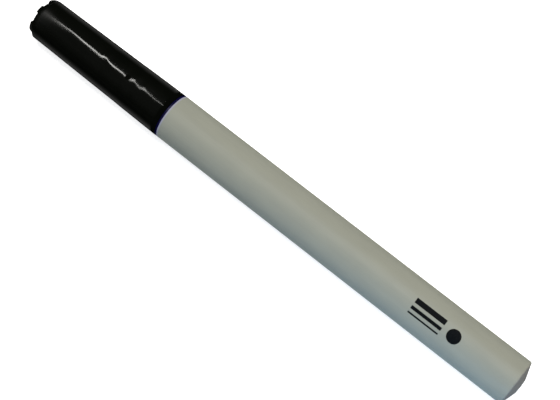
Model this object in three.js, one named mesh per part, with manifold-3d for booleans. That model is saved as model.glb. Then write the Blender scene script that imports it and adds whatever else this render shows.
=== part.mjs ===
// A slim fibre-tip marker with its cap on: a pull-off cap with a castellated, vented end, a moulded
// front section that carries the nib, a plain tube with the ink reservoir in it, and a tail plug.
// Sizes are millimetres. Every piece is made upright, about its own +Y axis, with the nib upwards
// and 0 at the front face of the section's flange. The last group lays the marker down along X,
// with the capped end towards -X and +Z up, and its origin in the middle of its length.
import * as THREE from "three";
import { mergeVertices } from "three/addons/utils/BufferGeometryUtils.js";
import Module from "manifold-3d";

const wasm = await Module();
wasm.setup();

// Fineness of the round surfaces
const SIDES = 48;
const SMALL_SIDES = 12;
const ARC_STEPS = 2;

// Barrel tube
const BARREL_DIAMETER = 11.5;
const BARREL_WALL = 1.1;
const BARREL_LENGTH = 99;
const BARREL_EDGE_BREAK = 0.12;
const BARREL_LEAD_IN = 0.3;

// Cap shell
const CAP_LENGTH = 40;
const CAP_STANDS_PROUD = 0.03;
const CAP_TAPER_DEG = 0.75;
const CAP_MOUTH_WALL = 1.05;
const CAP_END_SIDE_WALL = 0.85;
const CAP_MOUTH_ROUND = 0.18;
const CAP_MOUTH_LEAD_IN = 0.3;
const CAP_STEP_LENGTH = 1.2;
const CAP_GAP_TO_FLANGE = 0.05;

// Castellated crown at the cap's closed end
const CROWN_TEETH = 6;
const CROWN_TURN_DEG = -3.5;
const CROWN_ROUND_LENGTH = 1.95;
const CROWN_ROUND_WIDTH = 1;
const TOOTH_ANGLE_DEG = 25;
const TOOTH_INNER_RADIUS = 3;
const SLOT_DEPTH = 1.45;
const END_FACE_RADIUS = 4.05;
const END_FACE_DROP = 0.22;
const END_WALL = 1;
const GATE_DIMPLE_RADIUS = 0.7;
const GATE_DIMPLE_DEPTH = 0.25;

// Front section, which holds the nib and takes the cap
const FLANGE = 0.4;
const SEAT_LENGTH = 9;
const SHOULDER_LENGTH = 4;
const SNOUT_LENGTH = 5.2;
const TIP_LENGTH = 2.4;
const TIP_WALL = 0.55;
const SECTION_WALL = 1;
const SPIGOT_LENGTH = 15;
const SPIGOT_CHAMFER = 0.5;
const SOCKET_WALL = 0.6;
const SOCKET_STEP = 1;
const CLICK_BEAD_AT = 4.6;
const CLICK_BEAD_WIDTH = 1.4;
const CLICK_GROOVE_DEPTH = 0.15;
const AIR_GROOVES = 3;
const AIR_GROOVE_RADIUS = 0.32;

// Press rings on the section's spigot and on the tail plug
const PRESS_RING_WIDTH = 1.6;
const PRESS_RING_SLOPE = 0.4;

// Inner cap, which seals round the snout
const INNER_CAP_WALL = 0.7;
const INNER_CAP_END = 0.9;
const INNER_CAP_STANDOFF = 0.4;
const SEAL_LIP_HEIGHT = 0.2;
const SEAL_LIP_WIDTH = 1.1;
const FIN_HEIGHT = 0.5;
const FIN_THICKNESS = 0.8;
const FIN_PLATES = 3;
const FIN_START = 1;

// Nib
const NIB_DIAMETER = 3.4;
const NIB_PROUD = 4.4;
const NIB_TAPER_LENGTH = 2.3;
const NIB_TIP_RADIUS = 0.8;
const NIB_TIP_START_DEG = 20;
const NIB_REAR_CHAMFER = 0.6;
const NIB_DIP = 6;
const NIB_HEADROOM = 1.6;

// Ink reservoir: fibre core, film wrap and breather tube
const WRAP_WALL = 0.15;
const BREATHER_DIAMETER = 1.2;
const BREATHER_BORE = 0.7;

// Tail plug
const PLUG_CONE_HEIGHT = 1.25;
const PLUG_POINT_RADIUS = 0.9;
const PLUG_HEAD_EDGE = 0.1;
const PLUG_FLOOR = 1.3;
const PLUG_SPIGOT = 9;
const PLUG_WALL = 1;
const PLUG_RIB = 0.9;

// Clearances
const CAP_FIT = 0.08;
const CLICK_FIT = 0.03;
const SEAL_FIT = 0.05;
const SPIGOT_FIT = 0.05;
const PRESS_FIT = 0.02;
const SOFT_FIT = 0.05;
const NIB_FIT = 0.03;
const END_GAP = 0.1;

// Radii that follow from the barrel and the cap
const barrelRadius = BARREL_DIAMETER / 2;
const barrelBore = barrelRadius - BARREL_WALL;
const capMouthRadius = barrelRadius + CAP_STANDS_PROUD;
const capRadiusAt = (y) => capMouthRadius - y * Math.tan(THREE.MathUtils.degToRad(CAP_TAPER_DEG));
const capMouthBore = capMouthRadius - CAP_MOUTH_WALL;
const capDeepBore = capRadiusAt(CAP_LENGTH) - CAP_END_SIDE_WALL;
const innerCapRadius = capDeepBore - FIN_HEIGHT;
const innerCapBore = innerCapRadius - INNER_CAP_WALL;
const sealRadius = innerCapBore - SEAL_LIP_HEIGHT;
const seatRadius = capMouthBore - CAP_FIT;
const snoutRadius = sealRadius - SEAL_FIT;
const nibRadius = NIB_DIAMETER / 2;
const nibBore = nibRadius + NIB_FIT;
const spigotRadius = barrelBore - SPIGOT_FIT;
const socketRadius = spigotRadius - SOCKET_WALL;
const wrapRadius = socketRadius - SOFT_FIT;
const coreRadius = wrapRadius - WRAP_WALL - SOFT_FIT;
const breatherRadius = BREATHER_DIAMETER / 2;

// Angles that follow from the crown, measured about the axis from the marker's top
const crownTurn = THREE.MathUtils.degToRad(CROWN_TURN_DEG);
const toothPitch = (2 * Math.PI) / CROWN_TEETH;
const slotAngle = toothPitch - THREE.MathUtils.degToRad(TOOTH_ANGLE_DEG);

// Heights that follow from the lengths
const shoulderTop = SEAT_LENGTH + SHOULDER_LENGTH;
const snoutTop = shoulderTop + SNOUT_LENGTH;
const sectionTop = snoutTop + TIP_LENGTH;
const nibTop = sectionTop + NIB_PROUD;
const barrelTop = -FLANGE;
const barrelBottom = barrelTop - BARREL_LENGTH;
const socketFloor = barrelTop - SOCKET_STEP;
const reservoirTop = socketFloor - END_GAP;
const reservoirBottom = barrelBottom + PLUG_SPIGOT + END_GAP;
const nibBottom = reservoirTop - NIB_DIP;
const plugBottom = barrelBottom - PLUG_HEAD_EDGE - PLUG_CONE_HEIGHT;
const endFace = CAP_LENGTH - END_FACE_DROP;
const endWallBottom = endFace - END_WALL;
const innerCapMouth = shoulderTop + INNER_CAP_STANDOFF;
const innerCapCeiling = nibTop + NIB_HEADROOM;
const innerCapTop = innerCapCeiling + INNER_CAP_END;
const finTop = endWallBottom - END_GAP;

// The profile turned about +Y. It runs up the outside and down the inside.
function turned(path, sides = SIDES) {
  return new THREE.LatheGeometry(path.getPoints(ARC_STEPS), sides, Math.PI / sides);
}

// A plain round bar between two heights
function bar(radius, bottom, top, sides = SIDES) {
  const path = new THREE.Path();
  path.moveTo(0, bottom);
  path.lineTo(radius, bottom);
  path.lineTo(radius, top);
  path.lineTo(0, top);
  return turned(path, sides);
}

// A flat plate through the axis, as wide as it is asked for
function plate(width, thickness, bottom, top) {
  return new THREE.BoxGeometry(width, top - bottom, thickness).translate(0, (bottom + top) / 2, 0);
}

// A ridge or groove on the way up a profile: it leaves the radius, runs at its crest and comes back
function ridge(path, radius, crest, bottom, top, slope) {
  path.lineTo(radius, bottom);
  path.lineTo(crest, bottom + slope);
  path.lineTo(crest, top - slope);
  path.lineTo(radius, top);
}

// A closed geometry as a solid that can be joined and cut
function solid(geometry) {
  const bare = geometry.index ? geometry.toNonIndexed() : geometry.clone();
  bare.deleteAttribute("normal");
  bare.deleteAttribute("uv");
  const merged = mergeVertices(bare, 1e-4);
  const vertProperties = merged.attributes.position.array;
  const triVerts = new Uint32Array(merged.index.array);
  return new wasm.Manifold(new wasm.Mesh({ numProp: 3, vertProperties, triVerts }));
}

// A joined or cut solid as a geometry again
function geometryOf(made) {
  const { vertProperties, triVerts } = made.getMesh();
  const geometry = new THREE.BufferGeometry();
  geometry.setAttribute("position", new THREE.BufferAttribute(vertProperties, 3));
  geometry.setIndex(new THREE.BufferAttribute(triVerts, 1));
  return geometry.toNonIndexed();
}

function piece(name, geometry, material) {
  const flat = geometry.clone();
  flat.computeVertexNormals();
  const mesh = new THREE.Mesh(flat, material);
  mesh.name = name;
  return mesh;
}

const blackGloss = new THREE.MeshStandardMaterial({ color: 0x0c0e0b, roughness: 0.2, metalness: 0 });
const paleGrey = new THREE.MeshStandardMaterial({ color: 0x9b9d92, roughness: 0.45, metalness: 0 });
const darkBlue = new THREE.MeshStandardMaterial({ color: 0x12103f, roughness: 0.4, metalness: 0 });
const milkyWhite = new THREE.MeshStandardMaterial({ color: 0xd8d7cd, roughness: 0.5, metalness: 0 });
const inkedFibre = new THREE.MeshStandardMaterial({ color: 0x141416, roughness: 0.95, metalness: 0 });
const clearFilm = new THREE.MeshStandardMaterial({ color: 0xe6e8ea, roughness: 0.3, metalness: 0 });

// The moulded shell, open at the mouth, with the end face sunk a little between the teeth
function capShellTurned() {
  const seatDepth = SEAT_LENGTH + CAP_STEP_LENGTH;
  const path = new THREE.Path();
  path.moveTo(0, endWallBottom);
  path.lineTo(capDeepBore, endWallBottom);
  path.lineTo(capDeepBore, seatDepth + CAP_STEP_LENGTH);
  path.lineTo(capMouthBore, seatDepth);
  const grooveTop = CLICK_BEAD_AT + CLICK_BEAD_WIDTH / 2;
  const grooveBottom = CLICK_BEAD_AT - CLICK_BEAD_WIDTH / 2;
  path.lineTo(capMouthBore, grooveTop + CLICK_GROOVE_DEPTH);
  path.lineTo(capMouthBore + CLICK_GROOVE_DEPTH, grooveTop);
  path.lineTo(capMouthBore + CLICK_GROOVE_DEPTH, grooveBottom);
  path.lineTo(capMouthBore, grooveBottom - CLICK_GROOVE_DEPTH);
  path.lineTo(capMouthBore, CAP_MOUTH_LEAD_IN);
  path.lineTo(capMouthBore + CAP_MOUTH_LEAD_IN, 0);
  path.lineTo(capMouthRadius - CAP_MOUTH_ROUND, 0);
  path.absarc(capMouthRadius - CAP_MOUTH_ROUND, CAP_MOUTH_ROUND, CAP_MOUTH_ROUND, -Math.PI / 2, 0);
  const roundStart = CAP_LENGTH - CROWN_ROUND_LENGTH;
  const roundCentre = capRadiusAt(roundStart) - CROWN_ROUND_WIDTH;
  path.lineTo(capRadiusAt(roundStart), roundStart);
  path.absellipse(roundCentre, roundStart, CROWN_ROUND_WIDTH, CROWN_ROUND_LENGTH, 0, Math.PI / 2);
  path.lineTo(TOOTH_INNER_RADIUS, CAP_LENGTH);
  path.lineTo(TOOTH_INNER_RADIUS, endFace);
  path.lineTo(GATE_DIMPLE_RADIUS, endFace);
  path.lineTo(GATE_DIMPLE_RADIUS / 2, endFace - GATE_DIMPLE_DEPTH);
  path.lineTo(0, endFace - GATE_DIMPLE_DEPTH);
  return turned(path);
}

// A cutter shaped like a part of a ring, as wide as the space between two teeth, open at the top
function toothSpace(innerRadius, outerRadius, bottom, turn) {
  const outline = new THREE.Shape();
  outline.absarc(0, 0, outerRadius, -slotAngle / 2, slotAngle / 2);
  outline.absarc(0, 0, innerRadius, slotAngle / 2, -slotAngle / 2, true);
  outline.closePath();
  const depth = 2 * SLOT_DEPTH;
  const space = new THREE.ExtrudeGeometry(outline, { depth, bevelEnabled: false, curveSegments: 6 });
  return space.rotateX(-Math.PI / 2).translate(0, bottom, 0).rotateY(turn - Math.PI / 2);
}

// The teeth stand between slots that reach below the end wall, so each slot is a vent as well
function capShell() {
  const slotFloor = CAP_LENGTH - SLOT_DEPTH;
  let shell = solid(capShellTurned());
  for (let i = 0; i < CROWN_TEETH; i++) {
    const turn = crownTurn + (i + 0.5) * toothPitch;
    shell = shell
      .subtract(solid(toothSpace(END_FACE_RADIUS, capMouthRadius, slotFloor, turn)))
      .subtract(solid(toothSpace(TOOTH_INNER_RADIUS / 2, capMouthRadius, endFace, turn)));
  }
  return piece("cap_shell", geometryOf(shell), blackGloss);
}

// The thimble inside the cap: a sealing lip, and fins under the teeth that let air past
function innerCap() {
  const outside = solid(bar(innerCapRadius, innerCapMouth, innerCapTop));
  const bore = new THREE.Path();
  bore.moveTo(0, innerCapMouth - INNER_CAP_END);
  bore.lineTo(innerCapBore, innerCapMouth - INNER_CAP_END);
  bore.lineTo(innerCapBore, innerCapMouth);
  ridge(bore, innerCapBore, sealRadius, innerCapMouth, innerCapMouth + SEAL_LIP_WIDTH, SEAL_LIP_HEIGHT);
  bore.lineTo(innerCapBore, innerCapCeiling - INNER_CAP_WALL);
  bore.lineTo(innerCapBore - INNER_CAP_WALL, innerCapCeiling);
  bore.lineTo(0, innerCapCeiling);
  const finEnvelope = solid(bar(capDeepBore - PRESS_FIT, innerCapMouth + FIN_START, finTop));
  let body = outside;
  for (let i = 0; i < FIN_PLATES; i++) {
    const fins = plate(3 * capDeepBore, FIN_THICKNESS, innerCapMouth, CAP_LENGTH);
    fins.rotateY(crownTurn - Math.PI / 2 + (i * Math.PI) / FIN_PLATES);
    body = body.add(solid(fins).intersect(finEnvelope));
  }
  return piece("inner_cap", geometryOf(body.subtract(solid(turned(bore)))), milkyWhite);
}

// The section in one turning: tip, snout, shoulder, cap seat, flange and the spigot in the barrel
function frontSection() {
  const tipRadius = nibBore + TIP_WALL;
  const chamberRadius = seatRadius - SECTION_WALL;
  const spigotBottom = barrelTop - SPIGOT_LENGTH;
  const beadBottom = CLICK_BEAD_AT - CLICK_BEAD_WIDTH / 2;
  const beadTop = CLICK_BEAD_AT + CLICK_BEAD_WIDTH / 2;
  const beadCrest = capMouthBore - CLICK_FIT;
  const ringCrest = barrelBore - PRESS_FIT;
  const lowRing = spigotBottom + 2 * PRESS_RING_WIDTH;
  const highRing = barrelTop - 2 * PRESS_RING_WIDTH;
  const path = new THREE.Path();
  path.moveTo(nibBore, sectionTop);
  path.lineTo(nibBore, shoulderTop - SECTION_WALL);
  path.lineTo(chamberRadius, SEAT_LENGTH - SECTION_WALL);
  path.lineTo(chamberRadius, socketFloor);
  path.lineTo(socketRadius, socketFloor);
  path.lineTo(socketRadius, spigotBottom);
  path.lineTo(spigotRadius - SPIGOT_CHAMFER / 2, spigotBottom);
  path.lineTo(spigotRadius, spigotBottom + SPIGOT_CHAMFER);
  ridge(path, spigotRadius, ringCrest, lowRing - PRESS_RING_WIDTH, lowRing, PRESS_RING_SLOPE);
  ridge(path, spigotRadius, ringCrest, highRing, highRing + PRESS_RING_WIDTH, PRESS_RING_SLOPE);
  path.lineTo(spigotRadius, barrelTop);
  path.lineTo(barrelRadius, barrelTop);
  path.lineTo(barrelRadius, 0);
  path.lineTo(seatRadius, 0);
  ridge(path, seatRadius, beadCrest, beadBottom, beadTop, CLICK_BEAD_WIDTH / 3);
  path.lineTo(seatRadius, SEAT_LENGTH);
  path.lineTo(snoutRadius, shoulderTop);
  path.lineTo(snoutRadius, snoutTop);
  path.lineTo(tipRadius, sectionTop);
  path.lineTo(nibBore, sectionTop);
  let section = solid(turned(path));
  for (let i = 0; i < AIR_GROOVES; i++) {
    const groove = bar(AIR_GROOVE_RADIUS, SEAT_LENGTH, sectionTop + TIP_LENGTH, SMALL_SIDES);
    groove.translate(0, 0, nibBore).rotateY((i * 2 * Math.PI) / AIR_GROOVES);
    section = section.subtract(solid(groove));
  }
  return piece("front_section", geometryOf(section), darkBlue);
}

// The fibre rod: a bullet tip in front, and a chamfered end that stands in the reservoir
function nib() {
  const tipCentre = nibTop - NIB_TIP_RADIUS;
  const tipStart = THREE.MathUtils.degToRad(NIB_TIP_START_DEG);
  const path = new THREE.Path();
  path.moveTo(0, nibBottom);
  path.lineTo(nibRadius - NIB_REAR_CHAMFER, nibBottom);
  path.lineTo(nibRadius, nibBottom + NIB_REAR_CHAMFER);
  path.lineTo(nibRadius, nibTop - NIB_TAPER_LENGTH);
  path.absarc(0, tipCentre, NIB_TIP_RADIUS, tipStart, Math.PI / 2);
  return piece("nib", turned(path, SIDES / 2), inkedFibre);
}

// The fibre bundle, with a pocket that the nib stands in and a channel for the breather tube
function inkReservoir() {
  const pocket = solid(bar(nibBore, nibBottom - END_GAP, reservoirTop + END_GAP, SIDES / 2));
  const width = BREATHER_DIAMETER + 2 * SOFT_FIT;
  const channelFloor = coreRadius - width;
  const round = solid(bar(width / 2, reservoirBottom - END_GAP, reservoirTop + END_GAP, SMALL_SIDES));
  const mouth = plate(width, width, reservoirBottom - END_GAP, reservoirTop + END_GAP);
  const core = solid(bar(coreRadius, reservoirBottom, reservoirTop))
    .subtract(pocket)
    .subtract(round.translate(0, 0, channelFloor + width / 2))
    .subtract(solid(mouth.translate(0, 0, channelFloor + width)));
  return piece("ink_reservoir", geometryOf(core), inkedFibre);
}

function tube(radius, bore, bottom, top, sides) {
  const path = new THREE.Path();
  path.moveTo(bore, top);
  path.lineTo(bore, bottom);
  path.lineTo(radius, bottom);
  path.lineTo(radius, top);
  path.lineTo(bore, top);
  return turned(path, sides);
}

function reservoirWrap() {
  const film = tube(wrapRadius, wrapRadius - WRAP_WALL, reservoirBottom, reservoirTop, SIDES);
  return piece("reservoir_wrap", film, clearFilm);
}

function breatherTube() {
  const bore = BREATHER_BORE / 2;
  const straw = tube(breatherRadius, bore, reservoirBottom, reservoirTop, SMALL_SIDES);
  const mesh = piece("breather_tube", straw, milkyWhite);
  mesh.position.z = coreRadius - breatherRadius - SOFT_FIT;
  return mesh;
}

// A plain drawn tube, cut square, its edges broken outside and opened inside for what goes in
function barrelTube() {
  const path = new THREE.Path();
  path.moveTo(barrelBore + BARREL_LEAD_IN, barrelTop);
  path.lineTo(barrelBore, barrelTop - BARREL_LEAD_IN);
  path.lineTo(barrelBore, barrelBottom + BARREL_LEAD_IN);
  path.lineTo(barrelBore + BARREL_LEAD_IN, barrelBottom);
  path.lineTo(barrelRadius - BARREL_EDGE_BREAK, barrelBottom);
  path.lineTo(barrelRadius, barrelBottom + BARREL_EDGE_BREAK);
  path.lineTo(barrelRadius, barrelTop - BARREL_EDGE_BREAK);
  path.lineTo(barrelRadius - BARREL_EDGE_BREAK, barrelTop);
  path.lineTo(barrelBore + BARREL_LEAD_IN, barrelTop);
  return piece("barrel_tube", turned(path), paleGrey);
}

// The plug: a low cone with a rounded point outside, a ribbed cup inside that stops the reservoir
function tailPlug() {
  const headBottom = barrelBottom - PLUG_HEAD_EDGE;
  const headRadius = barrelRadius - BARREL_EDGE_BREAK;
  const coneSlope = PLUG_CONE_HEIGHT / (headRadius - PLUG_POINT_RADIUS);
  const spigotTop = barrelBottom + PLUG_SPIGOT;
  const innerRadius = spigotRadius - PLUG_WALL;
  const floor = plugBottom + PLUG_FLOOR;
  const ringCrest = barrelBore - PRESS_FIT;
  const ringBottom = barrelBottom + PRESS_RING_WIDTH;
  const ringTop = spigotTop - 1.5 * PRESS_RING_WIDTH;
  const roundTop = plugBottom + PLUG_POINT_RADIUS * coneSlope;
  const path = new THREE.Path();
  path.moveTo(0, plugBottom);
  path.quadraticCurveTo(PLUG_POINT_RADIUS, plugBottom, 2 * PLUG_POINT_RADIUS, roundTop);
  path.lineTo(headRadius, headBottom);
  path.lineTo(headRadius, barrelBottom);
  path.lineTo(spigotRadius, barrelBottom);
  ridge(path, spigotRadius, ringCrest, ringBottom, ringBottom + PRESS_RING_WIDTH, PRESS_RING_SLOPE);
  ridge(path, spigotRadius, ringCrest, ringTop - PRESS_RING_WIDTH, ringTop, PRESS_RING_SLOPE);
  path.lineTo(spigotRadius, spigotTop - SPIGOT_CHAMFER);
  path.lineTo(spigotRadius - SPIGOT_CHAMFER / 2, spigotTop);
  path.lineTo(innerRadius, spigotTop);
  path.lineTo(innerRadius, floor);
  path.lineTo(0, floor);
  const ribEnvelope = solid(bar(innerRadius + PLUG_WALL / 2, floor - PLUG_WALL / 2, spigotTop - PLUG_WALL));
  let plug = solid(turned(path));
  for (const turn of [0, Math.PI / 2]) {
    const ribs = plate(3 * innerRadius, PLUG_RIB, plugBottom, spigotTop).rotateY(turn);
    plug = plug.add(solid(ribs).intersect(ribEnvelope));
  }
  return piece("tail_plug", geometryOf(plug), paleGrey);
}

// What comes off together when the cap is pulled
const cap = new THREE.Group();
cap.position.y = CAP_GAP_TO_FLANGE;
cap.add(capShell(), innerCap());

const upright = new THREE.Group();
upright.add(cap, frontSection(), nib(), inkReservoir(), reservoirWrap(), breatherTube());
upright.add(barrelTube(), tailPlug());
upright.position.x = (CAP_GAP_TO_FLANGE + CAP_LENGTH + plugBottom) / 2;
upright.rotation.z = Math.PI / 2;

const marker = new THREE.Group();
marker.add(upright);

export default marker;
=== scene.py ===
import math

import bmesh
import bpy
from mathutils import Matrix, Quaternion, Vector, noise


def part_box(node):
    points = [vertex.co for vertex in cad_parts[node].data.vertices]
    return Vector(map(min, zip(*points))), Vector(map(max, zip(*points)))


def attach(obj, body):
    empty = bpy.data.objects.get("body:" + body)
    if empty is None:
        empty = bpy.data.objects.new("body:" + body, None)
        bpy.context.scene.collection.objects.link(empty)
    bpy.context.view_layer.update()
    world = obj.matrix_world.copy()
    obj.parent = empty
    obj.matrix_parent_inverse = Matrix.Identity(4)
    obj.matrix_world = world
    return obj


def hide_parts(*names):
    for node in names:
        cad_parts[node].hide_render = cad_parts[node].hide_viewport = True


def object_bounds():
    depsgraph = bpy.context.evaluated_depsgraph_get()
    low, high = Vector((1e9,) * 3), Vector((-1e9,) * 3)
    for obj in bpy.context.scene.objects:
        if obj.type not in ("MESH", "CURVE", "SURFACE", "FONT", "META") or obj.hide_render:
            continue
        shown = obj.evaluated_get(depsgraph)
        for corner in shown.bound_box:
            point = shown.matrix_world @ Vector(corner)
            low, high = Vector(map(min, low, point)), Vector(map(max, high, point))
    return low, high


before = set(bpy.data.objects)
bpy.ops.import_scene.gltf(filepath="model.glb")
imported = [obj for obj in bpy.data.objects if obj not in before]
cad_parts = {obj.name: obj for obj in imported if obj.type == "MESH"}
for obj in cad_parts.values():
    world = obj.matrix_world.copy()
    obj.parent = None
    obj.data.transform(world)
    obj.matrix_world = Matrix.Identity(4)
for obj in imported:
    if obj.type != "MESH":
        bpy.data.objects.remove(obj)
cad_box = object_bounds()

# Barrel tube
# The barrel is a plain tube of satin grey plastic, drawn through a die and cut square. Its cut edges
# are broken by a hair, which catches the light, and the die leaves faint lines along it.
MM = 0.001
ROUND_SIDES = 144
CAD_SIDES = 48
CORNER_SEGMENTS = 5
MERGE_DISTANCE = 0.0005 * MM
SHARP_ANGLE = math.radians(32)
BARREL_WALL = 1.1 * MM
BARREL_EDGE_BREAK = 0.12 * MM
BARREL_LEAD_IN = 0.3 * MM
BARREL_GREY = (0.328, 0.337, 0.287, 1)
BARREL_LINES_DARK = (0.300, 0.309, 0.266, 1)
# Painted light on the barrel's front cut edge: a pale blue band is a painted glint where the edge
# catches light, and a narrow navy band is painted shade at the joint with the section.
BARREL_EDGE_PAINTED_GLINT = (0.340, 0.345, 0.440, 1)
BARREL_EDGE_PAINTED_SHADE = (0.008, 0.006, 0.050, 1)
EDGE_GLINT_WIDTH = 0.38 * MM
EDGE_GLINT_FADE = 0.17 * MM
EDGE_SHADE_WIDTH = 0.12 * MM
EDGE_SHADE_FADE = 0.06 * MM
barrel_low, barrel_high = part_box("barrel_tube")
# The turned solid has flat sides and one faces up, so its box is a hair lower than the round tube.
barrel_radius = barrel_high.z / math.cos(math.pi / CAD_SIDES)
barrel_bore = barrel_radius - BARREL_WALL


def turned_mesh(outline, longest, sides=ROUND_SIDES):
    """A bmesh turned about X from corners given as (x, radius) or (x, radius, rounding).

    The outline is divided until none of its sides is longer than longest.
    """
    bm = bmesh.new()
    corners = [bm.verts.new((x, 0, radius)) for x, radius, *_ in outline]
    for start, end in zip(corners, corners[1:]):
        bm.edges.new((start, end))
    starts_on_axis = outline[0][1] == 0
    if not starts_on_axis:
        bm.edges.new((corners[-1], corners[0]))
    for corner, (_, _, *rounding) in zip(corners, outline):
        if rounding:
            bmesh.ops.bevel(bm, geom=[corner], offset=rounding[0], offset_type="OFFSET",
                            segments=CORNER_SEGMENTS, profile=0.5, affect="VERTICES", material=-1)
    for edge in bm.edges[:]:
        cuts = int(edge.calc_length() / longest)
        if cuts:
            bmesh.ops.subdivide_edges(bm, edges=[edge], cuts=cuts)
    bmesh.ops.spin(bm, geom=bm.verts[:] + bm.edges[:], cent=(0, 0, 0), axis=(1, 0, 0),
                   angle=2 * math.pi, steps=sides, use_merge=True)
    bmesh.ops.remove_doubles(bm, verts=bm.verts[:], dist=MERGE_DISTANCE)
    bmesh.ops.dissolve_degenerate(bm, edges=bm.edges[:], dist=MERGE_DISTANCE)
    bmesh.ops.recalc_face_normals(bm, faces=bm.faces[:])
    return bm


def finished_piece(name, bm, material, body, replaced=()):
    """Makes the bmesh a smooth object with its true corners kept sharp, riding on its body."""
    for face in bm.faces:
        face.smooth = True
    for edge in bm.edges:
        edge.smooth = len(edge.link_faces) == 2 and edge.calc_face_angle(0) < SHARP_ANGLE
    mesh = bpy.data.meshes.new(name)
    bm.to_mesh(mesh)
    bm.free()
    mesh.materials.append(material)
    piece = bpy.data.objects.new(name, mesh)
    bpy.context.scene.collection.objects.link(piece)
    if replaced:
        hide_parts(*replaced)
    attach(piece, body)


def new_material(name):
    """A material with a Principled shader: the material, its node tree and the shader."""
    material = bpy.data.materials.new(name)
    material.use_nodes = True
    tree = material.node_tree
    return material, tree, tree.nodes["Principled BSDF"]


def new_group(name, inputs, outputs):
    """An empty shader node group with number inputs, and outputs of the kinds given."""
    group = bpy.data.node_groups.new(name, "ShaderNodeTree")
    for label, value in inputs.items():
        made = group.interface.new_socket(label, in_out="INPUT", socket_type="NodeSocketFloat")
        made.default_value = value
    for label, kind in outputs.items():
        group.interface.new_socket(label, in_out="OUTPUT", socket_type=kind)
    return group, group.nodes.new("NodeGroupInput"), group.nodes.new("NodeGroupOutput")


def math_node(tree, operation, first, second):
    """A Math node on two values, each a socket or a number."""
    node = tree.nodes.new("ShaderNodeMath")
    node.operation = operation
    for socket, value in zip(node.inputs, (first, second)):
        if isinstance(value, (int, float)):
            socket.default_value = value
        else:
            tree.links.new(value, socket)
    return node.outputs[0]


def stretched_noise(tree, scale, detail, roughness=0.5):
    """Noise on the piece's own coordinates, with a scale for each axis in cycles per metre."""
    where = tree.nodes.new("ShaderNodeTexCoord")
    mapping = tree.nodes.new("ShaderNodeMapping")
    mapping.inputs["Scale"].default_value = scale
    texture = tree.nodes.new("ShaderNodeTexNoise")
    texture.inputs["Scale"].default_value = 1
    texture.inputs["Detail"].default_value = detail
    texture.inputs["Roughness"].default_value = roughness
    tree.links.new(where.outputs["Object"], mapping.inputs["Vector"])
    tree.links.new(mapping.outputs["Vector"], texture.inputs["Vector"])
    return texture.outputs["Fac"]


def place_along(tree):
    """Where a point lies along the marker's axis."""
    where = tree.nodes.new("ShaderNodeTexCoord")
    axes = tree.nodes.new("ShaderNodeSeparateXYZ")
    tree.links.new(where.outputs["Object"], axes.inputs["Vector"])
    return axes.outputs["X"]


def ramp(tree, value, low, high):
    """The value spread from 0 at low to 1 at high."""
    node = tree.nodes.new("ShaderNodeMapRange")
    node.inputs["From Min"].default_value = low
    node.inputs["From Max"].default_value = high
    tree.links.new(value, node.inputs["Value"])
    return node.outputs["Result"]


def build_handling_wear():
    """Hairline scratches in two directions, and smears left by fingers."""
    group, given, made = new_group(
        "handling_wear",
        {"Scratches": 0.5, "Smears": 0.5},
        {"Scratch": "NodeSocketFloat", "Smear": "NodeSocketFloat"},
    )
    along = ramp(group, stretched_noise(group, (90, 5200, 5200), detail=1), 0.69, 0.74)
    across = ramp(group, stretched_noise(group, (5600, 700, 900), detail=1), 0.72, 0.77)
    both = math_node(group, "MAXIMUM", along, across)
    smear = ramp(group, stretched_noise(group, (140, 260, 260), detail=3), 0.35, 0.75)
    scratch = math_node(group, "MULTIPLY", both, given.outputs["Scratches"])
    smeared = math_node(group, "MULTIPLY", smear, given.outputs["Smears"])
    group.links.new(scratch, made.inputs["Scratch"])
    group.links.new(smeared, made.inputs["Smear"])
    return group


handling_wear = build_handling_wear()


def add_wear(tree, scratches, smears):
    """The wear in a material, as a scratch mask and a smear mask of the strengths given."""
    node = tree.nodes.new("ShaderNodeGroup")
    node.node_tree = handling_wear
    node.inputs["Scratches"].default_value = scratches
    node.inputs["Smears"].default_value = smears
    return node.outputs["Scratch"], node.outputs["Smear"]


def mix_colours(tree, share, first, second):
    """The first colour at a share of 0 and the second at 1. Each is a socket or a value."""
    node = tree.nodes.new("ShaderNodeMix")
    node.data_type = "RGBA"
    factor, first_socket, second_socket = node.inputs[0], node.inputs[6], node.inputs[7]
    tree.links.new(share, factor)
    for socket, colour in ((first_socket, first), (second_socket, second)):
        if isinstance(colour, tuple):
            socket.default_value = colour
        else:
            tree.links.new(colour, socket)
    return node.outputs[2]


def roughen(tree, shader, base, *added):
    """Gives the shader its roughness: a base level, and masks that add their amounts to it."""
    rough = base
    for mask, amount in added:
        rough = math_node(tree, "ADD", rough, math_node(tree, "MULTIPLY", mask, amount))
    tree.links.new(rough, shader.inputs["Roughness"])


def bump(tree, shader, height, distance):
    """Gives the shader fine relief, as deep as the distance where the height is 1."""
    node = tree.nodes.new("ShaderNodeBump")
    node.inputs["Distance"].default_value = distance
    tree.links.new(height, node.inputs["Height"])
    tree.links.new(node.outputs["Normal"], shader.inputs["Normal"])


def gloss_by_angle(tree, straight_on, at_rim=0):
    """A reflection's strength. Dust takes it off at low angles, and polish keeps some at the rim."""
    weight = tree.nodes.new("ShaderNodeLayerWeight")
    weight.inputs["Blend"].default_value = 0.5
    # This runs from 0 where the surface faces the eye to 1 at its rim.
    facing = weight.outputs["Facing"]
    kept = math_node(tree, "POWER", ramp(tree, facing, 0.35, 0.1), 4)
    level = math_node(tree, "MULTIPLY", kept, straight_on)
    band = math_node(tree, "MINIMUM", ramp(tree, facing, 0.38, 0.55), ramp(tree, facing, 0.78, 0.62))
    rim = math_node(tree, "MULTIPLY", band, at_rim)
    return math_node(tree, "ADD", level, rim)


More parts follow.
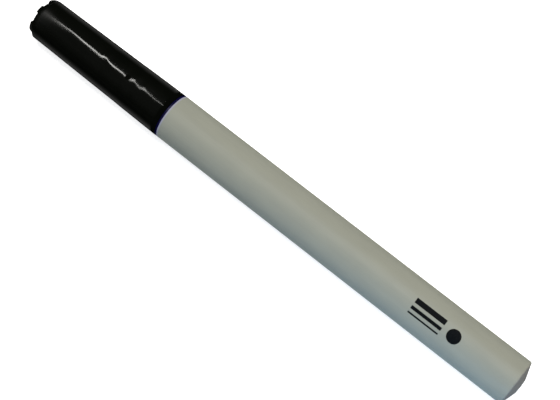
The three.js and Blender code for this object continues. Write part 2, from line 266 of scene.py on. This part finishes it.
def satin_grey(name, light, dark, die_lines, painted_light_edge=None):
    """Satin plastic: cloudy, worn, lined by a die, with painted light and shade at a given edge."""
    material, tree, shader = new_material(name)
    clouds = stretched_noise(tree, (110, 330, 330), detail=4)
    lines = stretched_noise(tree, (25, 2600, 2600), detail=2)
    drawn_lines = math_node(tree, "MULTIPLY", lines, die_lines)
    plain = math_node(tree, "MULTIPLY", clouds, 1 - die_lines)
    colour_share = math_node(tree, "ADD", plain, drawn_lines)
    colour = mix_colours(tree, ramp(tree, colour_share, 0.3, 0.7), dark, light)
    # The pale blue band is a painted glint of the cut edge catching light. The navy band on the edge
    # itself is painted shade at the joint.
    if painted_light_edge is not None:
        along = place_along(tree)
        glint_end = painted_light_edge + EDGE_GLINT_WIDTH
        shade_end = painted_light_edge + EDGE_SHADE_WIDTH
        glint_share = ramp(tree, along, glint_end + EDGE_GLINT_FADE, glint_end)
        shade_share = ramp(tree, along, shade_end + EDGE_SHADE_FADE, shade_end)
        colour = mix_colours(tree, glint_share, colour, BARREL_EDGE_PAINTED_GLINT)
        colour = mix_colours(tree, shade_share, colour, BARREL_EDGE_PAINTED_SHADE)
    tree.links.new(colour, shader.inputs["Base Color"])
    scratch, smear = add_wear(tree, scratches=0.6, smears=0.5)
    roughen(tree, shader, 0.36, (smear, 0.12), (scratch, 0.12))
    bump(tree, shader, math_node(tree, "SUBTRACT", drawn_lines, scratch), distance=0.004 * MM)
    gloss = gloss_by_angle(tree, straight_on=0.08)
    tree.links.new(gloss, shader.inputs["Specular IOR Level"])
    return material


barrel_grey = satin_grey("barrel_grey", BARREL_GREY, BARREL_LINES_DARK, die_lines=0.35,
                         painted_light_edge=barrel_low.x)
barrel_outline = [
    (barrel_low.x + BARREL_EDGE_BREAK, barrel_radius),
    (barrel_high.x - BARREL_EDGE_BREAK, barrel_radius),
    (barrel_high.x, barrel_radius - BARREL_EDGE_BREAK),
    (barrel_high.x, barrel_bore + BARREL_LEAD_IN),
    (barrel_high.x - BARREL_LEAD_IN, barrel_bore),
    (barrel_low.x + BARREL_LEAD_IN, barrel_bore),
    (barrel_low.x, barrel_bore + BARREL_LEAD_IN),
    (barrel_low.x, barrel_radius - BARREL_EDGE_BREAK),
]
finished_piece("barrel", turned_mesh(barrel_outline, longest=1.5 * MM), barrel_grey,
               "marker", ["barrel_tube"])

# Printed mark
# A plain stroke-width sign is printed in black near the tail: three bars from broad to fine, and a
# dot as wide as the nib's rod. It is a thin film of ink that follows the barrel's curve.
MARK_CENTRE = 47.6 * MM
MARK_TURN = math.radians(18.5)
BARS_ROUND_BARREL = [(-2.0 * MM, -0.7 * MM), (0.05 * MM, 0.85 * MM), (1.6 * MM, 2.0 * MM)]
BAR_START = -6.4 * MM
BAR_END = 1.8 * MM
DOT_CENTRE = 4.9 * MM
DOT_RADIUS = 1.7 * MM
DOT_RINGS = 8
DOT_SIDES = 48
INK_ABOVE = 0.012 * MM
INK_BELOW = 0.03 * MM
INK_BLACK = (0.005, 0.006, 0.007, 1)
INK_THIN = (0.010, 0.011, 0.012, 1)


def flat_mark():
    """The sign laid out flat: x runs along the barrel and y round it."""
    bm = bmesh.new()
    for low, high in BARS_ROUND_BARREL:
        made = bmesh.ops.create_grid(bm, x_segments=12, y_segments=6, size=0.5)
        for vert in made["verts"]:
            vert.co.x = BAR_START + (vert.co.x + 0.5) * (BAR_END - BAR_START)
            vert.co.y = low + (vert.co.y + 0.5) * (high - low)
    spoke = [bm.verts.new((DOT_CENTRE + DOT_RADIUS * ring / DOT_RINGS, 0, 0))
             for ring in range(DOT_RINGS + 1)]
    edges = [bm.edges.new(pair) for pair in zip(spoke, spoke[1:])]
    bmesh.ops.spin(bm, geom=spoke + edges, cent=(DOT_CENTRE, 0, 0), axis=(0, 0, 1),
                   angle=2 * math.pi, steps=DOT_SIDES, use_merge=True)
    bmesh.ops.remove_doubles(bm, verts=bm.verts[:], dist=MERGE_DISTANCE)
    return bm


def printed_mark():
    """The flat sign given its thickness and wrapped round the barrel."""
    bm = flat_mark()
    raised = bmesh.ops.extrude_face_region(bm, geom=bm.faces[:])
    for item in raised["geom"]:
        if isinstance(item, bmesh.types.BMVert):
            item.co.z = INK_ABOVE + INK_BELOW
    for vert in bm.verts:
        radius = barrel_radius - INK_BELOW + vert.co.z
        turn = MARK_TURN + vert.co.y / barrel_radius
        vert.co = (MARK_CENTRE + vert.co.x, -radius * math.sin(turn), radius * math.cos(turn))
    bmesh.ops.recalc_face_normals(bm, faces=bm.faces[:])
    return bm


def mottle(tree, shader, mask, first, second):
    """Gives the shader a colour that runs from the first to the second with the mask."""
    tree.links.new(mix_colours(tree, mask, first, second), shader.inputs["Base Color"])


def print_ink():
    """Black printing ink, thin in specks."""
    material, tree, shader = new_material("print_ink")
    cover = stretched_noise(tree, (2500, 2500, 2500), detail=3)
    mottle(tree, shader, ramp(tree, cover, 0.55, 0.75), INK_BLACK, INK_THIN)
    roughen(tree, shader, 0.3, (cover, 0.5))
    bump(tree, shader, cover, distance=0.003 * MM)
    gloss = gloss_by_angle(tree, straight_on=0.02)
    tree.links.new(gloss, shader.inputs["Specular IOR Level"])
    return material


finished_piece("stroke_width_print", printed_mark(), print_ink(), "marker")

# Tail plug
# The plug is pressed into the barrel, and its grey is darker than the barrel's as painted shade.
# Its head is a low blunt cone with a thin edge against the barrel's cut end, and a press ring holds
# the spigot in the bore.
# Both greys are darker than the barrel's as painted shade, for the plug's head faces away from the
# lamps.
PLUG_SHADED_GREY = (0.258, 0.252, 0.236, 1)
PLUG_SHADED_CLOUD = (0.243, 0.238, 0.224, 1)
PLUG_HEAD_EDGE = 0.1 * MM
PLUG_BLUNT_RADIUS = 1.8 * MM
PLUG_BLUNT_RISE = 0.08 * MM
PLUG_WALL = 1 * MM
PLUG_FLOOR = 1.3 * MM
SPIGOT_CLEARANCE = 0.05 * MM
SPIGOT_CHAMFER_LENGTH = 0.5 * MM
SPIGOT_CHAMFER_DEPTH = 0.25 * MM
PRESS_RING_CLEARANCE = 0.02 * MM
PRESS_RING_LENGTH = 1.6 * MM
plug_low, plug_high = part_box("tail_plug")
plug_head_radius = barrel_radius - BARREL_EDGE_BREAK
spigot_radius = barrel_bore - SPIGOT_CLEARANCE
press_ring_radius = barrel_bore - PRESS_RING_CLEARANCE
plug_bore = spigot_radius - PLUG_WALL


def press_ring(start, way):
    """Outline corners of a spigot's press ring, from its start towards +X (way 1) or -X (way -1)."""
    slope = way * PRESS_RING_LENGTH / 4
    return [
        (start, spigot_radius),
        (start + slope, press_ring_radius),
        (start + 3 * slope, press_ring_radius),
        (start + 4 * slope, spigot_radius),
    ]


plug_grey = satin_grey("plug_grey", PLUG_SHADED_GREY, PLUG_SHADED_CLOUD, die_lines=0)
plug_outline = [
    (plug_high.x - PLUG_FLOOR, 0),
    (plug_high.x - PLUG_FLOOR, plug_bore),
    (plug_low.x, plug_bore),
    (plug_low.x, spigot_radius - SPIGOT_CHAMFER_DEPTH),
    (plug_low.x + SPIGOT_CHAMFER_LENGTH, spigot_radius),
    *press_ring(barrel_high.x - 2 * PRESS_RING_LENGTH, 1),
    (barrel_high.x, spigot_radius),
    (barrel_high.x, plug_head_radius),
    (barrel_high.x + PLUG_HEAD_EDGE, plug_head_radius, 0.05 * MM),
    (plug_high.x - PLUG_BLUNT_RISE, PLUG_BLUNT_RADIUS, 0.3 * MM),
    (plug_high.x, 0),
]
finished_piece("tail_cone_plug", turned_mesh(plug_outline, longest=0.8 * MM), plug_grey,
               "marker", ["tail_plug"])

# Front section
# The section is one moulding in dark blue. Its flange shows as a thin ring between cap and barrel.
# Ahead of it come the cap's seat with its click bead, a shoulder, a snout and the cone that holds
# the nib.
SECTION_BLUE = (0.0045, 0.0035, 0.036, 1)
SECTION_BLUE_DEEP = (0.0035, 0.0028, 0.028, 1)
FLANGE_THICKNESS = 0.4 * MM
SEAT_RADIUS = 4.65 * MM
SEAT_LENGTH = 9 * MM
CLICK_CREST_RADIUS = 4.70 * MM
CLICK_AT = 4.6 * MM
CLICK_HALF = 0.7 * MM
SHOULDER_LENGTH = 4 * MM
SNOUT_RADIUS = 2.956 * MM
SNOUT_LENGTH = 5.2 * MM
NIB_BORE = 1.73 * MM
TIP_WALL = 0.55 * MM
SECTION_WALL = 1 * MM
SOCKET_WALL = 0.6 * MM
section_low, section_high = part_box("front_section")
seam_x = barrel_low.x - FLANGE_THICKNESS
click_x = seam_x - CLICK_AT
shoulder_x = seam_x - SEAT_LENGTH
snout_x = shoulder_x - SHOULDER_LENGTH
cone_x = snout_x - SNOUT_LENGTH
socket_floor = barrel_low.x + SECTION_WALL
socket_radius = spigot_radius - SOCKET_WALL


def moulded_blue():
    """Satin dark blue plastic with the moulding's flow in its colour."""
    material, tree, shader = new_material("section_blue")
    flow = stretched_noise(tree, (300, 500, 500), detail=3)
    mottle(tree, shader, ramp(tree, flow, 0.35, 0.65), SECTION_BLUE_DEEP, SECTION_BLUE)
    scratch, smear = add_wear(tree, scratches=0.5, smears=0.6)
    roughen(tree, shader, 0.3, (smear, 0.15))
    grain = stretched_noise(tree, (9000, 9000, 9000), detail=2)
    bump(tree, shader, math_node(tree, "SUBTRACT", grain, scratch), distance=0.003 * MM)
    gloss = gloss_by_angle(tree, straight_on=0.15)
    tree.links.new(gloss, shader.inputs["Specular IOR Level"])
    return material


section_outline = [
    (section_low.x, NIB_BORE),
    (snout_x + SECTION_WALL, NIB_BORE),
    (shoulder_x + SECTION_WALL, SEAT_RADIUS - SECTION_WALL),
    (socket_floor, SEAT_RADIUS - SECTION_WALL),
    (socket_floor, socket_radius),
    (section_high.x, socket_radius),
    (section_high.x, spigot_radius - SPIGOT_CHAMFER_DEPTH),
    (section_high.x - SPIGOT_CHAMFER_LENGTH, spigot_radius),
    *press_ring(section_high.x - PRESS_RING_LENGTH, -1),
    (barrel_low.x, spigot_radius),
    (barrel_low.x, barrel_radius, 0.05 * MM),
    (seam_x, barrel_radius, 0.08 * MM),
    (seam_x, SEAT_RADIUS),
    (click_x + CLICK_HALF, SEAT_RADIUS),
    (click_x + CLICK_HALF / 3, CLICK_CREST_RADIUS),
    (click_x - CLICK_HALF / 3, CLICK_CREST_RADIUS),
    (click_x - CLICK_HALF, SEAT_RADIUS),
    (shoulder_x, SEAT_RADIUS, 0.6 * MM),
    (snout_x, SNOUT_RADIUS, 0.8 * MM),
    (cone_x, SNOUT_RADIUS, 0.5 * MM),
    (section_low.x, NIB_BORE + TIP_WALL, 0.15 * MM),
]
finished_piece("nib_section", turned_mesh(section_outline, longest=0.8 * MM), moulded_blue(),
               "marker", ["front_section"])

# Nib
# The nib is a hard rod of bonded fibre, ground to a bullet point and black with ink. Its fibres run
# along it, and wear has paled some of them.
NIB_RADIUS = 1.7 * MM
NIB_SIDES = 96
NIB_TAPER = 2.3 * MM
NIB_BACK_CHAMFER = 0.6 * MM
NIB_TIP_RADIUS = 0.8 * MM
NIB_TIP_START = math.radians(20)
NIB_TIP_STEPS = 10
NIB_BLACK = (0.006, 0.006, 0.007, 1)
NIB_WORN = (0.014, 0.014, 0.016, 1)
nib_low, nib_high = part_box("nib")


def inked_fibre(name, dark, worn, fibres_per_metre):
    """Fibre soaked with ink, with the fibres running along the marker."""
    material, tree, shader = new_material(name)
    fibres = stretched_noise(tree, (260, fibres_per_metre, fibres_per_metre), detail=3,
                             roughness=0.7)
    mottle(tree, shader, ramp(tree, fibres, 0.35, 0.7), dark, worn)
    roughen(tree, shader, 0.87, (fibres, -0.67))
    bump(tree, shader, fibres, distance=0.03 * MM)
    return material


def nib_tip():
    """Corners round the nib's blunt point, the last of them exactly on the axis."""
    centre = nib_low.x + NIB_TIP_RADIUS
    step = (math.pi / 2 - NIB_TIP_START) / NIB_TIP_STEPS
    turns = [NIB_TIP_START + step * count for count in range(NIB_TIP_STEPS)]
    round_point = [(centre - NIB_TIP_RADIUS * math.sin(turn), NIB_TIP_RADIUS * math.cos(turn))
                   for turn in turns]
    return round_point + [(nib_low.x, 0)]


nib_outline = [
    (nib_high.x, 0),
    (nib_high.x, NIB_RADIUS - NIB_BACK_CHAMFER),
    (nib_high.x - NIB_BACK_CHAMFER, NIB_RADIUS),
    (nib_low.x + NIB_TAPER, NIB_RADIUS, 0.5 * MM),
    *nib_tip(),
]
nib_fibre = inked_fibre("nib_fibre", NIB_BLACK, NIB_WORN, fibres_per_metre=9000)
finished_piece("fibre_nib", turned_mesh(nib_outline, longest=0.5 * MM, sides=NIB_SIDES), nib_fibre,
               "marker", ["nib"])

# Ink store
# Inside the barrel a bundle of soft fibre holds the ink. A film wraps it and a thin tube beside it
# lets air past. They are sealed in, so the turned solids stay and take only their finishes.
STORE_BLACK = (0.008, 0.008, 0.010, 1)
STORE_WORN = (0.020, 0.020, 0.024, 1)
FILM_PALE = (0.78, 0.80, 0.82, 1)
FILM_DULL = (0.70, 0.72, 0.75, 1)
TUBE_MILKY = (0.72, 0.71, 0.66, 1)
TUBE_DULL = (0.66, 0.65, 0.59, 1)


def milky_plastic(name, light, dull, roughness, clouded):
    """Soft plastic that lets some light through. Clouded is how far its clouds roughen it."""
    material, tree, shader = new_material(name)
    clouds = stretched_noise(tree, (400, 700, 700), detail=3)
    mottle(tree, shader, ramp(tree, clouds, 0.35, 0.65), dull, light)
    roughen(tree, shader, roughness, (clouds, clouded))
    shader.inputs["Subsurface Weight"].default_value = 0.15
    shader.inputs["Subsurface Scale"].default_value = 0.5 * MM
    return material


def dress_node(node, material):
    """Gives a kept solid its finish in place of the imported one."""
    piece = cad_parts[node]
    piece.data.materials.clear()
    piece.data.materials.append(material)


store_fibre = inked_fibre("reservoir_fibre", STORE_BLACK, STORE_WORN, fibres_per_metre=5000)
wrap_film = milky_plastic("wrap_film", FILM_PALE, FILM_DULL, roughness=0.17, clouded=0.41)
inner_milky = milky_plastic("inner_milky", TUBE_MILKY, TUBE_DULL, roughness=0.26, clouded=0.37)
dress_node("ink_reservoir", store_fibre)
dress_node("reservoir_wrap", wrap_film)
dress_node("breather_tube", inner_milky)

# Inner cap
# A milky thimble is pressed into the cap and seals round the snout. Six fins centre it, and the air
# passes between them.
dress_node("inner_cap", inner_milky)

# Cap
# The cap is moulded in gloss black, a little slimmer at its closed end. Six rounded teeth stand
# there round a flat end face, and the slots between them let air through. Its walls have sunk in
# places, as they do in a mould.
CAP_BLACK = (0.0021, 0.0025, 0.0018, 1)
CAP_DUSTY = (0.0030, 0.0034, 0.0026, 1)
CAP_PROUD = 0.03 * MM
CAP_SLOPE = math.radians(0.75)
CAP_MOUTH_WALL = 1.05 * MM
CAP_DEEP_WALL = 0.85 * MM
CAP_END_WALL = 1 * MM
CAP_STEP = 1.2 * MM
CAP_LEAD_IN = 0.3 * MM
CAP_MOUTH_ROUND = 0.18 * MM
CAP_MESH_STEP = 0.24 * MM
CLICK_GROOVE = 0.15 * MM
CROWN_TEETH = 6
CROWN_TURN = math.radians(3.5)
CROWN_ROUND_LENGTH = 1.95 * MM
CROWN_ROUND_WIDTH = 1 * MM
CROWN_ROUND_STEPS = 8
CROWN_EDGE_ROUND = 0.1 * MM
CROWN_CORNER = math.radians(50)
TOOTH_INNER = 3 * MM
# Half of a tooth's width, in sides of the turned cap.
TOOTH_HALF_STEPS = 5
SLOT_DEPTH = 1.45 * MM
END_FACE_DROP = 0.22 * MM
END_FACE_RADIUS = 4.05 * MM
DIMPLE_RADIUS = 0.7 * MM
DIMPLE_FLOOR_RADIUS = 0.35 * MM
DIMPLE_DEPTH = 0.25 * MM
# A distance too small to matter, where one surface is told from another.
HAIR = 0.01 * MM
cap_low, cap_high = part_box("cap_shell")
cap_mouth = cap_high.x
cap_length = cap_high.x - cap_low.x
cap_taper = math.tan(CAP_SLOPE)
cap_mouth_radius = barrel_radius + CAP_PROUD
cap_mouth_bore = cap_mouth_radius - CAP_MOUTH_WALL
cap_deep_bore = cap_mouth_radius - cap_length * cap_taper - CAP_DEEP_WALL
cap_seat = SEAT_LENGTH + CAP_STEP
round_start = cap_length - CROWN_ROUND_LENGTH
slot_floor = cap_length - SLOT_DEPTH
end_face = cap_length - END_FACE_DROP
bore_ceiling = end_face - CAP_END_WALL


def cap_radius_at(depth):
    """The cap's outside radius at a distance from its mouth, before the crown's rounding."""
    return cap_mouth_radius - depth * cap_taper


def crown_radius_at(depth):
    """The crown's outside radius on its long rounding, at a distance from the cap's mouth."""
    along = min(max((depth - round_start) / CROWN_ROUND_LENGTH, 0), 1)
    return cap_radius_at(round_start) - CROWN_ROUND_WIDTH * (1 - math.sqrt(1 - along ** 2))


def angle_of(point):
    """The turn of a point about the cap's axis, with 0 at the top."""
    return math.atan2(-point.y, point.z)


def radius_of(point):
    """The distance of a point from the cap's axis."""
    return math.hypot(point.y, point.z)


def wrapped(turn, pitch):
    """The turn as an offset from the nearest whole number of pitches."""
    return (turn + pitch / 2) % pitch - pitch / 2


def cap_turning():
    """The cap as a turned shape, its crown still a full ring. Depths are from the mouth."""
    lower = [round_start, (round_start + slot_floor) / 2, slot_floor]
    quarter_turn = math.pi / 2
    upper = [slot_floor + SLOT_DEPTH * math.sin(step / CROWN_ROUND_STEPS * quarter_turn)
             for step in range(1, CROWN_ROUND_STEPS + 1)]
    corners = [
        (bore_ceiling, 0),
        (bore_ceiling, END_FACE_RADIUS),
        (bore_ceiling, cap_deep_bore),
        (slot_floor, cap_deep_bore),
        (cap_seat + CAP_STEP, cap_deep_bore),
        (cap_seat, cap_mouth_bore),
        (CLICK_AT + CLICK_HALF + CLICK_GROOVE, cap_mouth_bore),
        (CLICK_AT + CLICK_HALF, cap_mouth_bore + CLICK_GROOVE),
        (CLICK_AT - CLICK_HALF, cap_mouth_bore + CLICK_GROOVE),
        (CLICK_AT - CLICK_HALF - CLICK_GROOVE, cap_mouth_bore),
        (CAP_LEAD_IN, cap_mouth_bore),
        (0, cap_mouth_bore + CAP_LEAD_IN),
        (0, cap_mouth_radius, CAP_MOUTH_ROUND),
        *[(depth, crown_radius_at(depth)) for depth in lower + upper],
        (cap_length, END_FACE_RADIUS),
        (cap_length, TOOTH_INNER),
        (end_face, TOOTH_INNER),
        (end_face, DIMPLE_RADIUS),
        (end_face - DIMPLE_DEPTH, DIMPLE_FLOOR_RADIUS),
        (end_face - DIMPLE_DEPTH, 0),
    ]
    outline = [(cap_mouth - depth, *rest) for depth, *rest in corners]
    return turned_mesh(outline, CAP_MESH_STEP)


def cut_tooth_spaces(bm):
    """Takes the spaces between the teeth out of the turned crown and walls what that opens."""
    step = 2 * math.pi / ROUND_SIDES
    pitch = ROUND_SIDES // CROWN_TEETH
    cut_away = []
    for face in bm.faces:
        centre = face.calc_center_median()
        depth = cap_mouth - centre.x
        radius = radius_of(centre)
        around = angle_of(centre) / step % pitch
        in_space = TOOTH_HALF_STEPS < around < pitch - TOOTH_HALF_STEPS
        in_slot = depth > slot_floor + HAIR and radius > END_FACE_RADIUS
        above_face = depth > end_face + HAIR and radius > TOOTH_INNER - HAIR
        if in_space and (in_slot or above_face):
            cut_away.append(face)
    bmesh.ops.delete(bm, geom=cut_away, context="FACES")
    columns = [[] for _ in range(ROUND_SIDES)]
    for vert in bm.verts:
        columns[round(angle_of(vert.co) / step) % ROUND_SIDES].append(vert)

    def nearest(index, depth, radius):
        """The vertex of one column that is nearest to a depth and a radius."""
        def miss(vert):
            return math.hypot(cap_mouth - vert.co.x - depth, radius_of(vert.co) - radius)
        return min(columns[index % ROUND_SIDES], key=miss)

    for tooth in range(CROWN_TEETH):
        first = tooth * pitch + TOOTH_HALF_STEPS
        rows = []
        for index in range(first, first + pitch - 2 * TOOTH_HALF_STEPS + 1):
            turn = index * step
            rim = bm.verts.new((cap_mouth - end_face, -END_FACE_RADIUS * math.sin(turn),
                                END_FACE_RADIUS * math.cos(turn)))
            rows.append([
                nearest(index, slot_floor, crown_radius_at(slot_floor)),
                nearest(index, slot_floor, cap_deep_bore),
                nearest(index, bore_ceiling, END_FACE_RADIUS),
                rim,
                nearest(index, end_face, TOOTH_INNER),
            ])
        # What is walled is the slot's floor, the end wall's edge and the end face beside it.
        for row, following in zip(rows, rows[1:]):
            for one, other in ((0, 1), (2, 3), (3, 4)):
                bm.faces.new((row[one], row[other], following[other], following[one]))
    holes = [edge for edge in bm.edges if len(edge.link_faces) == 1]
    bmesh.ops.holes_fill(bm, edges=holes, sides=0)
    bmesh.ops.recalc_face_normals(bm, faces=bm.faces[:])


def soften_crown(bm):
    """Rounds the crown's outer edges by a tenth of a millimetre, as a mould does."""
    edges = []
    for edge in bm.edges:
        middle = (edge.verts[0].co + edge.verts[1].co) / 2
        depth = cap_mouth - middle.x
        radius = radius_of(middle)
        outside = radius > cap_deep_bore + 2 * HAIR or depth > bore_ceiling + 2 * HAIR
        on_crown = depth > slot_floor - HAIR and radius > TOOTH_INNER - HAIR
        if on_crown and outside and edge.is_convex and edge.calc_face_angle(0) > CROWN_CORNER:
            edges.append(edge)
    bmesh.ops.bevel(bm, geom=edges, offset=CROWN_EDGE_ROUND, offset_type="OFFSET", segments=3,
                    profile=0.5, affect="EDGES", clamp_overlap=True, material=-1)


# The cap's wall isn't quite even. Lengths here are in millimetres and turns in degrees. Each sink
# is its distance from the mouth, how far it draws the wall in to one side, and its length.
SINKS = [
    (3.2, 0.017, 0.8),
    (6.6, -0.036, 1.0),
    (8.3, 0.057, 0.75),
    (10.0, -0.062, 0.65),
    (12.0, 0.055, 1.0),
    (16.4, 0.012, 0.8),
    (18.9, -0.105, 0.85),
    (21.1, 0.018, 0.6),
    (29.8, -0.034, 2.5),
]
SINK_SPREAD = 40.1
SINKS_TURN_AT_MOUTH = 9.3
SINKS_TURN_PER_MM = -0.3
WAVE_HEIGHT = 0.012
WAVE_SCALE_ALONG = 0.16
WAVE_SCALE_ROUND = 1.6
SHRINKAGE = 0.008
THICK_WALL_AT = 12.0
THICK_WALL_START = 0.3
THICK_WALL_FADE = 25
THICK_WALL_SINK = 0.03
EVEN_ENDS = 1.5


def sink_walls(bm):
    """Lets the gloss wander: slow unevenness everywhere, and the sinks near the top."""
    for vert in bm.verts:
        radius = radius_of(vert.co)
        off_the_wall = abs(radius - cap_radius_at(cap_mouth - vert.co.x))
        if off_the_wall > 2 * HAIR:
            continue
        depth = (cap_mouth - vert.co.x) / MM
        share = min(depth / EVEN_ENDS, (round_start / MM - depth) / EVEN_ENDS, 1)
        if share <= 0:
            continue
        turn = angle_of(vert.co)
        place = Vector((depth * WAVE_SCALE_ALONG, math.sin(turn) * WAVE_SCALE_ROUND,
                        math.cos(turn) * WAVE_SCALE_ROUND))
        change = WAVE_HEIGHT * noise.noise(place) - SHRINKAGE
        past = depth - THICK_WALL_AT
        thick = (1 + math.tanh(past / THICK_WALL_START)) / 2
        change -= THICK_WALL_SINK * thick * math.exp(-max(past, 0) / THICK_WALL_FADE)
        sinks_turn = math.radians(SINKS_TURN_AT_MOUTH + SINKS_TURN_PER_MM * depth)
        away = wrapped(turn - sinks_turn, 2 * math.pi)
        beside = math.sin(4 * away) * math.exp(-(away / math.radians(SINK_SPREAD)) ** 2)
        for at, drawn, length in SINKS:
            change += drawn * math.exp(-((depth - at) / length) ** 2) * beside
        scale = 1 + share * change * MM / radius
        vert.co.y *= scale
        vert.co.z *= scale


SCUFF_CENTRE = (cap_mouth - 12 * MM, -0.56 * MM, 5.57 * MM)
SCUFF_RADIUS = 0.6 * MM
SCUFF_FADE = 0.2 * MM
LIP_WORN = 1.0 * MM
LIP_FADE = 0.6 * MM
DULL_FROM = 27 * MM
DULL_TO = 38 * MM


def distance_from(tree, point):
    """How far a point of the surface is from a fixed one."""
    where = tree.nodes.new("ShaderNodeTexCoord")
    distance = tree.nodes.new("ShaderNodeVectorMath")
    distance.operation = "DISTANCE"
    distance.inputs[1].default_value = point
    tree.links.new(where.outputs["Object"], distance.inputs[0])
    return distance.outputs["Value"]


def gloss_black():
    """Polished black, dulled by handling at its lip and closed end, with one small scuff on top."""
    material, tree, shader = new_material("cap_black")
    scratch, smear = add_wear(tree, scratches=0.8, smears=0.8)
    mottle(tree, shader, smear, CAP_BLACK, CAP_DUSTY)
    along = place_along(tree)
    towards_end = ramp(tree, along, cap_mouth - DULL_FROM, cap_mouth - DULL_TO)
    dulled = math_node(tree, "POWER", towards_end, 2)
    roughen(tree, shader, 0.08, (smear, 0.06), (scratch, 0.15), (dulled, 0.34))
    grain = stretched_noise(tree, (1500, 1500, 1500), detail=2)
    bump(tree, shader, math_node(tree, "SUBTRACT", grain, scratch), distance=0.002 * MM)
    off_centre = distance_from(tree, SCUFF_CENTRE)
    unscuffed = ramp(tree, off_centre, SCUFF_RADIUS, SCUFF_RADIUS + SCUFF_FADE)
    past_lip = ramp(tree, along, cap_mouth - LIP_WORN, cap_mouth - LIP_WORN - LIP_FADE)
    gloss = gloss_by_angle(tree, straight_on=0.25, at_rim=0.010)
    gloss = math_node(tree, "MULTIPLY", gloss, unscuffed)
    gloss = math_node(tree, "MULTIPLY", gloss, past_lip)
    tree.links.new(gloss, shader.inputs["Specular IOR Level"])
    return material


cap_mesh = cap_turning()
cut_tooth_spaces(cap_mesh)
soften_crown(cap_mesh)
bmesh.ops.rotate(cap_mesh, verts=cap_mesh.verts[:], cent=(0, 0, 0),
                 matrix=Matrix.Rotation(CROWN_TURN, 3, "X"))
sink_walls(cap_mesh)
finished_piece("cap", cap_mesh, gloss_black(), "cap", ["cap_shell"])

# Floor, lamps and camera
# The marker lies on a plain pale surface, seen from almost above. One broad lamp lights it, a small
# cool one stands beside the tail, and two narrow ones hang where the cap's gloss shows them as a
# bright line.
FLOOR_SIZE = 30
FLOOR_PALE = (0.86, 0.86, 0.86, 1)
FLOOR_GLOW = 0.8
floor_mesh = bpy.data.meshes.new("floor")
floor_bm = bmesh.new()
bmesh.ops.create_grid(floor_bm, x_segments=1, y_segments=1, size=FLOOR_SIZE / 2)
bmesh.ops.translate(floor_bm, verts=floor_bm.verts[:], vec=(0, 0, cad_box[0].z))
floor_bm.to_mesh(floor_mesh)
floor_bm.free()
floor = bpy.data.objects.new("floor", floor_mesh)
bpy.context.scene.collection.objects.link(floor)


def pale_floor():
    """Pale paint that the camera and the gloss see as white, with the marker's shadow kept on it."""
    material, tree, shader = new_material("floor_pale")
    shader.inputs["Base Color"].default_value = FLOOR_PALE
    shader.inputs["Roughness"].default_value = 0.8
    shader.inputs["Specular IOR Level"].default_value = 0.1
    shader.inputs["Emission Color"].default_value = (1, 1, 1, 1)
    path = tree.nodes.new("ShaderNodeLightPath")
    seen = math_node(tree, "MAXIMUM", path.outputs["Is Camera Ray"], path.outputs["Is Glossy Ray"])
    seen = math_node(tree, "MAXIMUM", seen, path.outputs["Is Transmission Ray"])
    glow = math_node(tree, "MULTIPLY", seen, FLOOR_GLOW)
    tree.links.new(glow, shader.inputs["Emission Strength"])
    return material


floor.data.materials.append(pale_floor())

KEY_COLOUR = (1.0, 0.98, 0.93)
COOL_COLOUR = (0.26, 0.58, 1.0)
STRIP_COLOUR = (1.0, 0.99, 0.95)
STRIP_WIDTH = 0.02
WORLD_STRENGTH = 0.085


def lamp(name, place, aim, size, power, colour):
    """A flat rectangular lamp that faces the point it is aimed at."""
    light = bpy.data.lights.new(name, "AREA")
    light.shape = "RECTANGLE"
    light.size, light.size_y = size
    light.energy = power
    light.color = colour
    made = bpy.data.objects.new(name, light)
    bpy.context.scene.collection.objects.link(made)
    made.location = place
    made.rotation_euler = (Vector(aim) - Vector(place)).to_track_quat("-Z", "Y").to_euler()
    return made


def strip_lamp(name, start, end, power):
    """A narrow lamp that hangs level between two points and shines straight down."""
    start = Vector(start)
    end = Vector(end)
    middle = (start + end) / 2
    size = ((end - start).length, STRIP_WIDTH)
    made = lamp(name, middle, middle - Vector((0, 0, 1)), size, power, STRIP_COLOUR)
    made.rotation_euler = (0, 0, math.atan2(end.y - start.y, end.x - start.x))


lamp("key", place=(0.06, 0.11, 0.75), aim=(0, 0, 0), size=(0.36, 0.55), power=5.6,
     colour=KEY_COLOUR)
lamp("cool_fill", place=(0.09, -0.11, 0.028), aim=(0.07, 0, 0), size=(0.06, 0.04), power=0.068,
     colour=COOL_COLOUR)
strip_lamp("strip_near_mouth", start=(-0.1669, -0.0105, 0.400), end=(-0.1830, 0.0138, 0.400),
           power=0.030)
strip_lamp("strip_over_cap", start=(-0.1860, 0.0184, 0.400), end=(-0.2350, 0.0935, 0.400),
           power=0.175)

world = bpy.data.worlds.new("studio")
bpy.context.scene.world = world
world.use_nodes = True
background = world.node_tree.nodes["Background"]
background.inputs["Color"].default_value = (1, 1, 1, 1)
background.inputs["Strength"].default_value = WORLD_STRENGTH

CAMERA_AZIMUTH = math.radians(36.52)
CAMERA_ELEVATION = math.radians(71.22)
CAMERA_ROLL = math.radians(2.74)
CAMERA_DISTANCE = 0.330
CAMERA_TARGET = Vector((0.00238, 0.00004, 0))
CAMERA_LENS = 93.0
CAMERA_SENSOR = 36
camera_data = bpy.data.cameras.new("camera")
camera_data.lens = CAMERA_LENS
camera_data.sensor_width = CAMERA_SENSOR
camera = bpy.data.objects.new("camera", camera_data)
bpy.context.scene.collection.objects.link(camera)
outwards = Vector((math.sin(CAMERA_AZIMUTH) * math.cos(CAMERA_ELEVATION),
                   -math.cos(CAMERA_AZIMUTH) * math.cos(CAMERA_ELEVATION),
                   math.sin(CAMERA_ELEVATION)))
camera.location = CAMERA_TARGET + outwards * CAMERA_DISTANCE
level = (-outwards).to_track_quat("-Z", "Y")
camera.rotation_euler = (level @ Quaternion((0, 0, 1), CAMERA_ROLL)).to_euler()
bpy.context.scene.camera = camera
bpy.context.scene.view_settings.view_transform = "Standard"
